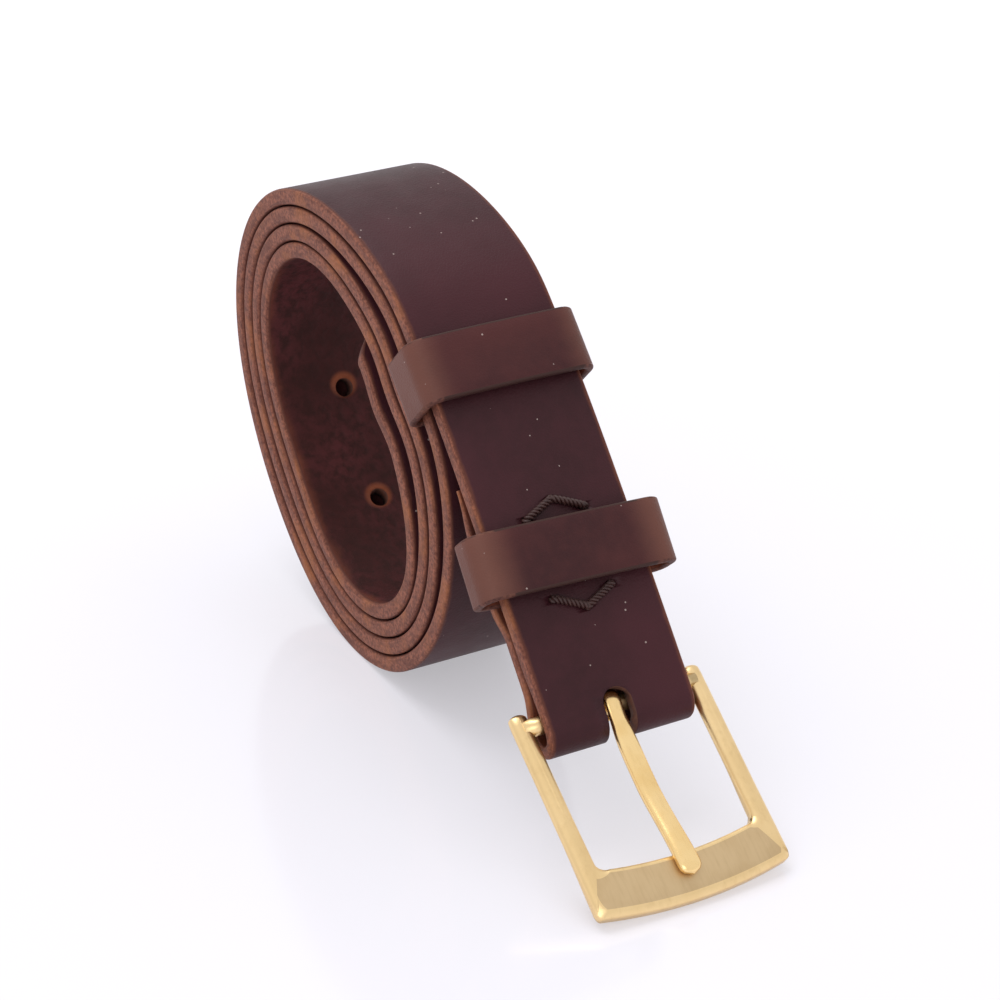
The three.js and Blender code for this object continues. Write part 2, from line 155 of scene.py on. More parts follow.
def roll_point(angle):
    """A point of the grain face on the roll. Angles count from +X over the top."""
    off = (angle - 38 + 180) % 360 - 180
    outer = ROLL_RADIUS + ROLL_OVAL * math.cos(math.radians(2 * (angle + 32)))
    outer += ROLL_SAG * math.cos(math.radians(3 * (angle - 31)))
    outer -= STRAP_DENT * math.exp(-((off / 15) ** 2))
    pitch = LAYER_PITCH + LAYER_LOOSENESS * math.cos(math.radians(2 * (angle - 30)))
    front = max(0.0, math.cos(math.radians(angle - 35))) ** 2
    room = KEEPER_ROOM * front if angle > 485 else 0.0
    spring = TIP_SPRING * smooth(angle, TIP_ANGLE - 95, TIP_ANGLE - 45)
    r = outer - (angle - 90) / 360 * pitch - room - spring
    a = math.radians(angle)
    return ROLL_CENTRE + r * np.array([math.cos(a), math.sin(a)])


def roll_heading(angle):
    return unit(roll_point(angle + 0.5) - roll_point(angle - 0.5))


class Leaning:
    """The stretch from the fold up to the roll: a cubic curve read by distance along it."""

    def __init__(self):
        start = FOLD_CENTRE + left_of(DOWN_STRAP) * FOLD_RADIUS
        leave = roll_point(DEPARTURE)
        heading = unit(roll_point(DEPARTURE) - roll_point(DEPARTURE + 0.5))
        t = np.linspace(0, 1, 401)[:, None]
        first_handle = start - DOWN_STRAP * LEAN_HANDLE
        last_handle = leave + heading * LEAN_HANDLE
        self.points = cubic(start, first_handle, last_handle, leave, t)
        steps = np.linalg.norm(np.diff(self.points, axis=0), axis=1)
        self.along = np.concatenate([[0], np.cumsum(steps)])
        self.length = self.along[-1]

    def at(self, distance):
        return np.array([np.interp(distance, self.along, self.points[:, k]) for k in (0, 1)])

    def up(self, distance):
        low = max(0.0, distance - 0.5)
        high = min(self.length, distance + 0.5)
        return unit(self.at(high) - self.at(low))


LEANING = Leaning()


def strap_stations():
    """Stations from the skived end to the tip: grain point, flesh point and distance along."""
    grain, flesh = [], []
    for distance in np.arange(TURN_BACK, 0.1, -1.0):
        at = LEANING.at(distance)
        inward = left_of(LEANING.up(distance))
        close = STRAP_THICKNESS + 0.35
        behind_keeper = STRAP_THICKNESS + 2 * CLEARANCE + KEEPER_THICKNESS
        depth = mix(2 * FOLD_RADIUS - FOLD_THICKNESS, close, smooth(distance, 0, 9))
        depth = mix(depth, behind_keeper, smooth(distance, 19, 26))
        depth -= 1.5 * smooth(distance, 39, TURN_BACK)
        thick = mix(FOLD_THICKNESS, BACK_THICKNESS, smooth(distance, 4, 14))
        thick -= SKIVE * smooth(distance, 36, TURN_BACK)
        grain.append(at + inward * (depth + thick))
        flesh.append(at + inward * depth)
    for turn in np.linspace(math.pi / 2 - STRAP_SLOPE - math.pi, math.pi / 2 - STRAP_SLOPE, 28):
        spoke = np.array([math.cos(turn), math.sin(turn)])
        grain.append(FOLD_CENTRE + spoke * FOLD_RADIUS)
        flesh.append(FOLD_CENTRE + spoke * (FOLD_RADIUS - FOLD_THICKNESS))
    for distance in np.arange(1.0, LEANING.length, 1.0):
        at = LEANING.at(distance)
        thick = mix(FOLD_THICKNESS, STRAP_THICKNESS, smooth(distance, 2, 14))
        grain.append(at)
        flesh.append(at + left_of(LEANING.up(distance)) * thick)
    for angle in np.arange(DEPARTURE, TIP_ANGLE + tip_angle(), 1.6):
        at = roll_point(angle)
        grain.append(at)
        flesh.append(at + left_of(roll_heading(angle)) * STRAP_THICKNESS)
    grain = np.array(grain)
    flesh = np.array(flesh)
    steps = np.linalg.norm(np.diff(grain, axis=0), axis=1)
    return grain, flesh, np.concatenate([[0], np.cumsum(steps)])


def tip_angle():
    r = np.linalg.norm(roll_point(TIP_ANGLE) - ROLL_CENTRE) - STRAP_THICKNESS / 2
    return math.degrees(TIP_LENGTH / r)


def angle_before_tip(distance):
    angle = TIP_ANGLE + tip_angle()
    while distance > 0:
        distance -= np.linalg.norm(roll_point(angle) - roll_point(angle - 0.5))
        angle -= 0.5
    return angle


# ---- meshes -----------------------------------------------------------------------------------
def make_object(name, vertices, faces, materials, face_materials=None, uvs=None):
    mesh = bpy.data.meshes.new(name)
    mesh.from_pydata([tuple(np.array(v) * MM) for v in vertices], [], faces)
    for material in materials:
        mesh.materials.append(material)
    if face_materials is not None:
        mesh.polygons.foreach_set("material_index", face_materials)
    mesh.polygons.foreach_set("use_smooth", [True] * len(faces))
    if uvs is not None:
        layer = mesh.uv_layers.new(name="strap")
        corners = [uvs[v] for face in faces for v in face]
        layer.data.foreach_set("uv", np.array(corners, float).ravel())
    mesh.update()
    obj = bpy.data.objects.new(name, mesh)
    bpy.context.scene.collection.objects.link(obj)
    return obj


def loft(rings, closed_path=False):
    """Faces between equal rings of points, with a cap at both ends of an open path."""
    count = len(rings[0])
    vertices = [p for ring in rings for p in ring]
    faces = []
    spans = len(rings) if closed_path else len(rings) - 1
    for i in range(spans):
        a = i * count
        b = ((i + 1) % len(rings)) * count
        for k in range(count):
            n = (k + 1) % count
            faces.append((a + k, a + n, b + n, b + k))
    if not closed_path:
        faces.append(tuple(reversed(range(count))))
        faces.append(tuple(range((len(rings) - 1) * count, len(rings) * count)))
    return vertices, faces


def append_mesh(vertices, faces, more_vertices, more_faces):
    """Adds a second mesh's vertices and faces to the first's lists."""
    offset = len(vertices)
    vertices.extend(more_vertices)
    faces.extend([tuple(i + offset for i in face) for face in more_faces])


def outward(obj):
    """Turns the faces to point out of the closed mesh."""
    work = bmesh.new()
    work.from_mesh(obj.data)
    bmesh.ops.recalc_face_normals(work, faces=work.faces)
    work.to_mesh(obj.data)
    work.free()
    return obj


def xz(p, y=0.0):
    """A point of the X and Z plane as a point in space, y across the strap."""
    return np.array([p[0], y, p[1]])


def subtract(obj, cutters):
    for cutter in cutters:
        modifier = obj.modifiers.new("cut", "BOOLEAN")
        modifier.operation = "DIFFERENCE"
        modifier.solver = "EXACT"
        modifier.object = cutter
    bpy.context.view_layer.update()
    made = obj.evaluated_get(bpy.context.evaluated_depsgraph_get())
    mesh = bpy.data.meshes.new_from_object(made)
    obj.modifiers.clear()
    obj.data = mesh
    for cutter in cutters:
        bpy.data.objects.remove(cutter)


# ---- shader helpers ---------------------------------------------------------------------------
class Shader:
    """A procedural material built node by node."""

    def __init__(self, name):
        self.material = bpy.data.materials.new(name)
        self.material.use_nodes = True
        self.tree = self.material.node_tree
        self.tree.nodes.clear()
        self.out = self.tree.nodes.new("ShaderNodeOutputMaterial")
        self.bsdf = self.tree.nodes.new("ShaderNodeBsdfPrincipled")
        self.tree.links.new(self.bsdf.outputs[0], self.out.inputs[0])
        coordinates = self.tree.nodes.new("ShaderNodeTexCoord")
        self.place = coordinates.outputs["Object"]
        self.uv = coordinates.outputs["UV"]

    def node(self, kind, inputs=(), **settings):
        made = self.tree.nodes.new(kind)
        for key, value in settings.items():
            setattr(made, key, value)
        for socket, value in dict(inputs).items():
            if isinstance(value, bpy.types.NodeSocket):
                self.tree.links.new(value, made.inputs[socket])
            else:
                made.inputs[socket].default_value = value
        return made

    def math(self, operation, a, b=0.0, c=0.0):
        return self.node("ShaderNodeMath", {0: a, 1: b, 2: c}, operation=operation).outputs[0]

    def noise(self, scale, detail=4.0, roughness=0.55, where=None):
        inputs = {"Vector": where or self.place, "Scale": scale, "Detail": detail, "Roughness": roughness}
        return self.node("ShaderNodeTexNoise", inputs).outputs["Fac"]

    def cells(self, scale, feature="F1"):
        inputs = {"Vector": self.place, "Scale": scale}
        return self.node("ShaderNodeTexVoronoi", inputs, feature=feature).outputs["Distance"]

    def ramp(self, value, low, high):
        inputs = {"Value": value, "From Min": low, "From Max": high}
        return self.node("ShaderNodeMapRange", inputs, interpolation_type="SMOOTHSTEP").outputs["Result"]

    def blend(self, amount, first, second):
        made = self.tree.nodes.new("ShaderNodeMix")
        made.data_type = "RGBA"
        for socket, value in ((0, amount), (6, first), (7, second)):
            if isinstance(value, bpy.types.NodeSocket):
                self.tree.links.new(value, made.inputs[socket])
            else:
                made.inputs[socket].default_value = value
        return made.outputs[2]

    def stretched(self, scale, where=None):
        inputs = {"Vector": where or self.place, "Scale": scale}
        return self.node("ShaderNodeMapping", inputs).outputs[0]

    def across(self):
        """Distance from the middle of the strap, in millimetres."""
        split = self.node("ShaderNodeSeparateXYZ", {0: self.place})
        return self.math("MULTIPLY", self.math("ABSOLUTE", split.outputs[1]), 1 / MM)

    def hole_distance(self, first_hole):
        """Distance in the strap's own face from the nearest adjustment hole, in millimetres."""
        split = self.node("ShaderNodeSeparateXYZ", {0: self.uv})
        along = self.math("SUBTRACT", split.outputs[0], first_hole - HOLE_PITCH / 2)
        off = self.math("SUBTRACT", self.math("FLOORED_MODULO", along, HOLE_PITCH), HOLE_PITCH / 2)
        far = self.math("MULTIPLY", self.math("LESS_THAN", along, 0.0), 40.0)
        across = self.across()
        squares = self.math("ADD", self.math("MULTIPLY", off, off), self.math("MULTIPLY", across, across))
        return self.math("ADD", self.math("SQRT", squares), far)

    def bump(self, height, depth_mm, strength=1.0, normal=None):
        inputs = {"Height": height, "Strength": strength, "Distance": depth_mm * MM}
        if normal is not None:
            inputs["Normal"] = normal
        return self.node("ShaderNodeBump", inputs).outputs[0]

    def surface(self, color, roughness, normal=None, **constants):
        for socket, value in (("Base Color", color), ("Roughness", roughness), ("Normal", normal)):
            if value is None:
                continue
            if isinstance(value, bpy.types.NodeSocket):
                self.tree.links.new(value, self.bsdf.inputs[socket])
            else:
                self.bsdf.inputs[socket].default_value = value
        for name, value in constants.items():
            self.bsdf.inputs[name.replace("_", " ")].default_value = value
        return self.material


def colour(hex_code):
    """A linear colour from an sRGB hex code."""
    values = [int(hex_code[i : i + 2], 16) / 255 for i in (1, 3, 5)]
    return tuple(v / 12.92 if v <= 0.04045 else ((v + 0.055) / 1.055) ** 2.4 for v in values) + (1.0,)


# ---- materials --------------------------------------------------------------------------------
def grain_leather(name, dark, light, rim, wear_and_highlight_from, wear_and_highlight_to, wear_and_highlight_share):
    """Smooth leather, paler between two distances from the strap's middle: rubbed wear at the strap's rims,
    a painted highlight at the keepers' bends.
    """
    s = Shader(name)
    cloud = s.ramp(s.noise(28, 3), 0.3, 0.7)
    fine = s.ramp(s.noise(420, 4), 0.3, 0.75)
    tone = s.blend(cloud, colour(dark), colour(light))
    tone = s.blend(s.math("MULTIPLY", fine, 0.35), tone, colour(light))
    # paler between the given distances from the middle: real rubbed wear on the strap's rims, painted
    # highlight on the keepers' bends
    wear_and_highlight_distance = s.math("ADD", s.across(), s.math("MULTIPLY", s.noise(300), 0.8))
    wear_and_highlight_amount = s.math("MULTIPLY", s.ramp(wear_and_highlight_distance, wear_and_highlight_from, wear_and_highlight_to), wear_and_highlight_share)
    tone = s.blend(wear_and_highlight_amount, tone, colour(rim))
    specks = s.math("LESS_THAN", s.cells(420), 0.085)
    sparse = s.math("GREATER_THAN", s.noise(190, 2), 0.57)
    tone = s.blend(s.math("MULTIPLY", s.math("MULTIPLY", specks, sparse), 0.6), tone, colour("#b7a6a0"))
    pores = s.cells(1500, "DISTANCE_TO_EDGE")
    normal = s.bump(s.ramp(pores, 0.0, 0.25), 0.05, 0.5)
    normal = s.bump(s.noise(900, 5), 0.06, 0.5, normal)
    normal = s.bump(s.noise(60, 3), 0.5, 0.25, normal)
    rough = s.math("MULTIPLY_ADD", s.noise(160), 0.16, 0.40)
    return s.surface(tone, rough, normal, Specular_IOR_Level=0.2, Sheen_Weight=0.0)


def cut_edge(name, pale, deep, rust, rim):
    s = Shader(name)
    fibres = s.noise(1300, 6, 0.7)
    plies = s.noise(1.0, 4, 0.6, s.stretched((0.10, 0.9, 1.0), s.uv))
    blotches = s.noise(110, 3)
    tone = s.blend(s.ramp(fibres, 0.3, 0.72), colour(deep), colour(pale))
    tone = s.blend(s.math("MULTIPLY", s.ramp(plies, 0.42, 0.68), 0.6), tone, colour(deep))
    tone = s.blend(s.math("MULTIPLY", s.ramp(blotches, 0.5, 0.72), 0.5), tone, colour(rust))
    arris = s.ramp(s.across(), STRAP_WIDTH / 2 - 0.75, STRAP_WIDTH / 2 - 0.1)
    tone = s.blend(arris, colour(rim), tone)
    normal = s.bump(fibres, 0.14, 0.8)
    normal = s.bump(plies, 0.25, 0.6, normal)
    return s.surface(tone, 0.6, normal, Specular_IOR_Level=0.25)


def flesh_leather(name, first_hole):
    s = Shader(name)
    cloud = s.ramp(s.noise(45, 4), 0.3, 0.7)
    tone = s.blend(cloud, colour("#33110f"), colour("#4c1f21"))
    pebbles = s.noise(480, 3, 0.6)
    tone = s.blend(s.ramp(pebbles, 0.35, 0.7), tone, colour("#30110f"))
    edge = s.math("ADD", s.across(), s.math("MULTIPLY", s.noise(110, 3), 5.0))
    tone = s.blend(s.ramp(edge, 15.6, 19.5), tone, colour("#6a3626"))
    hole_edge = HOLE_DIAMETER / 2
    middle = s.ramp(s.hole_distance(first_hole), hole_edge + 0.1, hole_edge + 1.6)
    tone = s.blend(middle, colour("#7a3f28"), tone)
    normal = s.bump(pebbles, 0.45, 0.8)
    normal = s.bump(s.noise(1200, 4), 0.08, 0.6, normal)
    return s.surface(tone, 0.62, normal, Specular_IOR_Level=0.2)


def raw_hole(name):
    s = Shader(name)
    tone = s.blend(s.noise(900, 4), colour("#2a1512"), colour("#6b3d2c"))
    return s.surface(tone, 0.8, s.bump(s.noise(1200), 0.1, 0.8))


def waxed_thread(name):
    s = Shader(name)
    tone = s.blend(s.noise(700, 4), colour("#250f0e"), colour("#452521"))
    return s.surface(tone, 0.5, s.bump(s.noise(2500, 3), 0.06, 0.7), Specular_IOR_Level=0.45)


def brushed_brass(name, strokes, light, dark, deep, roughness):
    s = Shader(name)
    lines = s.noise(1.0, 5, 0.6, s.stretched(strokes))
    cloud = s.ramp(s.noise(120, 4), 0.35, 0.7)
    tone = s.blend(cloud, colour(light), colour(dark))
    tone = s.blend(s.math("MULTIPLY", s.ramp(lines, 0.45, 0.75), 0.16), tone, colour(deep))
    rough = s.math("MULTIPLY_ADD", lines, 0.14, roughness)
    normal = s.bump(lines, 0.02, 0.4)
    return s.surface(tone, rough, normal, Metallic=1.0)


# ---- strap ------------------------------------------------------------------------------------
def edge_spans(kinds):
    """The face number of each span between two points: 1, the cut edge, where either point has it."""
    spans = []
    for k in range(len(kinds)):
        pair = (kinds[k], kinds[(k + 1) % len(kinds)])
        spans.append(1 if 1 in pair else pair[0])
    return spans


def strap_profile(thickness):
    """Across and depth of the points round the strap's section, with a face number for each span."""
    half = STRAP_WIDTH / 2
    round_grain = ARRIS_GRAIN
    round_flesh = min(ARRIS_FLESH, thickness * 0.3)
    points = []
    kinds = []

    def add(y, depth, kind):
        points.append((y, depth))
        kinds.append(kind)

    for y in np.linspace(-half + round_grain, half - round_grain, 11):
        add(y, 0.0, 0)
    for a in np.linspace(0, math.pi / 2, 5)[1:]:
        add(half - round_grain + round_grain * math.sin(a), round_grain * (1 - math.cos(a)), 1)
    for a in np.linspace(0, math.pi / 2, 5):
        add(half - round_flesh * (1 - math.cos(a)), thickness - round_flesh * (1 - math.sin(a)), 1)
    for y in np.linspace(half - round_flesh, -half + round_flesh, 11)[1:]:
        add(y, thickness, 2)
    for a in np.linspace(math.pi / 2, 0, 5)[1:]:
        add(-half + round_flesh * (1 - math.cos(a)), thickness - round_flesh * (1 - math.sin(a)), 1)
    for a in np.linspace(math.pi / 2, 0, 5)[:-1]:
        add(-half + round_grain - round_grain * math.sin(a), round_grain * (1 - math.cos(a)), 1)
    return points, edge_spans(kinds)


def cylinder_cutter(name, middle, heading, radius, length, y, material):
    """A round cutter across the strap's thickness, whose wall carries the material."""
    outwards = xz(-left_of(heading))
    first = xz(heading)
    second = np.array([0.0, 1.0, 0.0])
    rings = []
    for side in (-0.5, 0.5):
        ring = []
        for a in np.linspace(0, 2 * math.pi, 33)[:-1]:
            offset = first * math.cos(a) * radius + second * math.sin(a) * radius
            ring.append(xz(middle, y) + offset + outwards * side * length)
        rings.append(ring)
    vertices, faces = loft(rings)
    return outward(make_object(name, vertices, faces, [material]))


def make_strap(materials):
    grain, flesh, along = STATIONS
    hole_wall = materials[-1]
    end_of_square = along[-1] - TIP_LENGTH
    rings, uvs = [], []
    for g, f, s in zip(grain, flesh, along):
        thickness = np.linalg.norm(f - g)
        inward = (f - g) / thickness
        profile, spans = strap_profile(thickness)
        t = max(0.0, (s - end_of_square) / TIP_LENGTH)
        narrow = max(0.02, 1 - t ** 1.5) if t > 0 else 1.0
        rings.append([xz(g + inward * depth, y * narrow) for y, depth in profile])
        uvs.extend([(s, k) for k in range(len(profile))])
    vertices, faces = loft(rings)
    count = len(rings[0])
    kinds = [spans[i % count] for i in range(len(faces) - 2)] + [1, 1]
    obj = outward(make_object("strap_leather", vertices, faces, materials, kinds, uvs))
    cutters = []
    for i in range(HOLES):
        angle = angle_before_tip(TIP_TO_HOLE + i * HOLE_PITCH)
        heading = roll_heading(angle)
        middle = roll_point(angle) + left_of(heading) * STRAP_THICKNESS / 2
        size = (HOLE_DIAMETER / 2, STRAP_THICKNESS + 0.4)
        cutters.append(cylinder_cutter(f"hole_{i}", middle, heading, *size, 0.0, hole_wall))
    cutters.append(slot_cutter(hole_wall))
    cutters.append(curl_room(hole_wall))
    laced = LEANING.at(FIXED_KEEPER_AT)
    up = LEANING.up(FIXED_KEEPER_AT)
    for k, (lengthwise, across) in enumerate(LACE_HOLES):
        spot = laced - up * lengthwise + left_of(up) * 4.2
        size = (LACE_HOLE_RADIUS, 16.0)
        cutters.append(cylinder_cutter(f"lace_hole_{k}", spot, -up, *size, across, hole_wall))
    subtract(obj, cutters)
    return obj


def slot_cutter(material):
    """The oblong slot that lets the prong through the fold."""
    half = SLOT_WIDTH / 2
    up = -DOWN_STRAP
    plan = [(-12.0, -half), (-12.0, half)]
    for a in np.linspace(math.pi / 2, -math.pi / 2, 17):
        plan.append((SLOT_LENGTH - half + half * math.cos(a), half * math.sin(a)))
    rings = []
    for side in (-12.0, 12.0):
        out = left_of(DOWN_STRAP) * side
        rings.append([xz(BAR + up * u + out, PRONG_OFFSET + v) for u, v in plan])
    vertices, faces = loft(rings)
    return outward(make_object("slot", vertices, faces, [material]))


def curl_room(material):
    """Room for the prong's curl inside the fold."""
    r = BAR_RADIUS + 2 * CLEARANCE + PRONG_CURL_WALL
    circle = np.linspace(0, 2 * math.pi, 41)[:-1]
    rings = []
    for y in (PRONG_OFFSET - SLOT_WIDTH / 2 + 0.02, PRONG_OFFSET + SLOT_WIDTH / 2 - 0.02):
        rings.append([xz(BAR + r * np.array([math.cos(a), math.sin(a)]), y) for a in circle])
    vertices, faces = loft(rings)
    return outward(make_object("curl_room", vertices, faces, [material]))


# Along and across the strap from the middle of the fixed keeper: two apexes and four corners.
LACE_HOLES = [
    (-LACE_HALF_LENGTH, -LACE_HALF_WIDTH),
    (-LACE_APEX, 0.0),
    (-LACE_HALF_LENGTH, LACE_HALF_WIDTH),
    (LACE_HALF_LENGTH, LACE_HALF_WIDTH),
    (LACE_APEX, 0.0),
    (LACE_HALF_LENGTH, -LACE_HALF_WIDTH),
]


# ---- keepers ----------------------------------------------------------------------------------
def keeper_loop(half_width, top, bottom):
    """Middle line of the band seen along the strap: (across, out) points, closed."""
    w = half_width - KEEPER_THICKNESS / 2
    high = top - KEEPER_THICKNESS / 2
    low = bottom + KEEPER_THICKNESS / 2
    corner = KEEPER_BACK_BEND
    bend = KEEPER_BEND
    shoulder = high - 0.4
    points = []
    for t in np.linspace(-1, 1, 25):
        points.append((t * (w - bend), shoulder + 0.4 * (1 - t * t)))
    for t in np.linspace(0, 1, 15)[1:]:
        turn = t * math.pi / 2
        points.append((w - bend + bend * math.sin(turn), shoulder - bend * (1 - math.cos(turn))))
    for t in np.linspace(0, 1, 9)[1:]:
        points.append((w, mix(shoulder - bend, low + corner, t)))
    for a in np.linspace(0, -math.pi / 2, 9)[1:]:
        points.append((w - corner + corner * math.cos(a), low + corner + corner * math.sin(a)))
    half = [p for p in points if p[0] > 0 or abs(p[0]) < 1e-9]
    other = [(-x, z) for x, z in reversed(half) if x > 1e-9]
    return np.array(half + other)


def keeper_profile():
    """Points round the band's section, along and out, with a face number for each span."""
    half_t = KEEPER_THICKNESS / 2
    half_l = KEEPER_LENGTH / 2
    soft = KEEPER_ROUND
    profile = []
    kinds = []
    for u in np.linspace(-half_l + soft, half_l - soft, 7):
        profile.append((u, half_t))
        kinds.append(0)
    for a in np.linspace(0, math.pi, 9)[1:-1]:
        profile.append((half_l - soft + soft * math.sin(a), half_t * math.cos(a)))
        kinds.append(1)
    for u in np.linspace(half_l - soft, -half_l + soft, 7):
        profile.append((u, -half_t))
        kinds.append(2)
    for a in np.linspace(math.pi, 2 * math.pi, 9)[1:-1]:
        profile.append((-half_l + soft + soft * math.sin(a), half_t * math.cos(a)))
        kinds.append(1)
    return profile, edge_spans(kinds)


def make_keeper(name, materials, distance, half_width, top, bottom, skew):
    loop = keeper_loop(half_width, top, bottom)
    up = LEANING.up(distance)
    at = LEANING.at(distance)
    out3 = xz(-left_of(up))
    turn = Matrix.Rotation(-skew, 3, Vector(out3))
    down3 = np.array(turn @ Vector(xz(-up)))
    side3 = np.array(turn @ Vector((0.0, 1.0, 0.0)))
    n = len(loop)
    profile, spans = keeper_profile()
    rings = []
    for i in range(n):
        tangent = unit(loop[(i + 1) % n] - loop[i - 1])
        normal = np.array([-tangent[1], tangent[0]])
        if np.dot(normal, loop[i] - np.array([0, (top + bottom) / 2])) < 0:
            normal = -normal
        centre = xz(at) + side3 * loop[i][0] + out3 * loop[i][1]
        outward_here = side3 * normal[0] + out3 * normal[1]
        rings.append([centre + down3 * u + outward_here * v for u, v in profile])
    vertices, faces = loft(rings, closed_path=True)
    count = len(profile)
    kinds = [spans[i % count] for i in range(len(faces))]
    return outward(make_object(name, vertices, faces, materials, kinds))


# ---- lacing -----------------------------------------------------------------------------------
def stitch(start, end, out, depth, rise):
    """Path of one stitch: out of one hole, along the face and down into the next."""
    points = []
    way = end - start
    for t in np.linspace(0, 1, 5)[:-1]:
        points.append(start - out * depth * (1 - t))
    for t in np.linspace(0, 1, 17):
        lift = rise * math.sin(math.pi * t) ** 0.35 if 0 < t < 1 else 0.0
        points.append(start + way * t + out * lift)
    for t in np.linspace(0, 1, 5)[1:]:
        points.append(end - out * depth * t)
    return np.array(points)


def twisted(path):
    """Plies wound round a path: vertices and faces."""
    steps = np.linalg.norm(np.diff(path, axis=0), axis=1)
    along = np.concatenate([[0], np.cumsum(steps)])
    count = max(8, int(along[-1] / 0.16))
    where = np.linspace(0, along[-1], count)
    fine = np.array([[np.interp(s, along, path[:, k]) for k in range(3)] for s in where])
    for _ in range(3):
        fine[1:-1] = (fine[:-2] + 2 * fine[1:-1] + fine[2:]) / 4
    tangents = np.gradient(fine, axis=0)
    side = np.array([0.31, 0.52, 0.8])
    vertices, faces = [], []
    frames = []
    for tangent in tangents:
        tangent = unit(tangent)
        side = unit(side - tangent * np.dot(side, tangent))
        frames.append((side, np.cross(tangent, side)))
    r = THREAD_DIAMETER / 2
    for ply in range(THREAD_PLIES):
        rings = []
        for p, (a, b), s in zip(fine, frames, where):
            phase = 2 * math.pi * (s / THREAD_PITCH + ply / THREAD_PLIES)
            centre = p + (a * math.cos(phase) + b * math.sin(phase)) * r * 0.5
            ring = []
            for k in range(8):
                angle = 2 * math.pi * k / 8
                ring.append(centre + (a * math.cos(angle) + b * math.sin(angle)) * r * 0.56)
            rings.append(ring)
        append_mesh(vertices, faces, *loft(rings))
    return vertices, faces


def make_lacing(material):
    at = LEANING.at(FIXED_KEEPER_AT)
    up = LEANING.up(FIXED_KEEPER_AT)
    down3, out3 = xz(-up), xz(-left_of(up))
    stack = STRAP_THICKNESS + 2 * CLEARANCE + KEEPER_THICKNESS + BACK_THICKNESS

    def spot(lengthwise, across, out):
        return xz(at, across) + down3 * lengthwise + out3 * out

    vertices, faces = [], []

    for i, hole in enumerate(LACE_HOLES):
        after = LACE_HOLES[(i + 1) % len(LACE_HOLES)]
        front_start = spot(*hole, 0.25)
        front_end = spot(*after, 0.25)
        if hole[0] * after[0] > 0:
            path = stitch(front_start, front_end, out3, 3.0, 0.35)
            append_mesh(vertices, faces, *twisted(path))
        back_start = spot(*hole, -stack - 0.2)
        back_end = spot(*after, -stack - 0.2)
        path = stitch(back_start, back_end, -out3, 3.0, 0.3)
        append_mesh(vertices, faces, *twisted(path))
    return outward(make_object("lacing_thread", vertices, faces, [material]))


# ---- buckle -----------------------------------------------------------------------------------
DOWN3 = xz(DOWN_BUCKLE)
OUT3 = xz(left_of(DOWN_BUCKLE))
SIDE3 = np.array([0.0, 1.0, 0.0])


def on_buckle(u, y, h):
    return xz(BAR) + DOWN3 * u + SIDE3 * y + OUT3 * h


def frame_edges():
    """Matching points of the outer and inner edge, round from one arm's end to the other's."""
    outer, inner, front = [], [], []
    w_out = BUCKLE_HALF_WIDTH
    w_in = BUCKLE_HALF_WIDTH - ARM_WIDTH
    corner = BUCKLE_REACH - FRONT_BOW
    window = BUCKLE_REACH - FRONT_WIDTH - WINDOW_BOW
    r_out, r_in = 1.4, 2.2

    def bow(y, half, edge, depth):
        return edge + depth * (1 - (y / half) ** 2)

    for t in np.linspace(0, 1, 26):
        outer.append((mix(-ARM_END, corner - r_out, t), -w_out))
        inner.append((mix(-ARM_END, window - r_in, t), -w_in))
        front.append(smooth(t, 0.62, 1.0) * 0.35)
    for t in np.linspace(0, 1, 13)[1:]:
        a = t * math.pi / 2
        outer.append((corner - r_out + r_out * math.sin(a), -w_out + r_out * (1 - math.cos(a))))
        inner.append((window - r_in + r_in * math.sin(a), -w_in + r_in * (1 - math.cos(a))))
        front.append(0.35 + 0.65 * t)
    for t in np.linspace(-1, 1, 41)[1:-1]:
        y_out, y_in = t * (w_out - r_out), t * (w_in - r_in)
        outer.append((bow(y_out, w_out - r_out, corner, FRONT_BOW), y_out))
        inner.append((bow(y_in, w_in - r_in, window, WINDOW_BOW), y_in))
        front.append(1.0)
    count = 26 + 12
    for k in reversed(range(count)):
        outer.append((outer[k][0], -outer[k][1]))
        inner.append((inner[k][0], -inner[k][1]))
        front.append(front[k])
    return np.array(outer), np.array(inner), np.array(front)


def round_fall(t):
    """How far a quarter circle of radius 1 lies below its top, at a share t from its foot."""
    return 1 - math.sqrt(max(0.0, 1 - (1 - t) ** 2))


def frame_section(width, front, scale):
    """(share across from the outer edge, height) pairs: round on an arm, flat and bevelled in front."""
    half = FRAME_THICKNESS / 2
    bevel_out = min(mix(width * 0.5, 1.5, front), width * 0.5)
    bevel_in = min(mix(width * 0.5, 1.0, front), width * 0.5)
    drop_out = mix(half * 0.95, 0.9, front)
    drop_in = mix(half * 0.95, 0.8, front)
    power = mix(2.0, 1.25, front)
    top = []
    for t in np.linspace(0, 1, 8):
        fall = (1 - t) ** power if front > 0.5 else round_fall(t)
        top.append((bevel_out * t, half - drop_out * fall))
    for t in np.linspace(0, 1, 6)[1:-1]:
        top.append((mix(bevel_out, width - bevel_in, t), half + 0.12 * front * math.sin(math.pi * t)))
    for t in np.linspace(1, 0, 8):
        top.append((width - bevel_in * t, half - drop_in * round_fall(t)))
    under = half * 0.75
    bottom = [(d, -min(half, h + under * front)) for d, h in reversed(top)]
    return [((d / width - 0.5) * scale + 0.5, h * scale) for d, h in top + bottom]


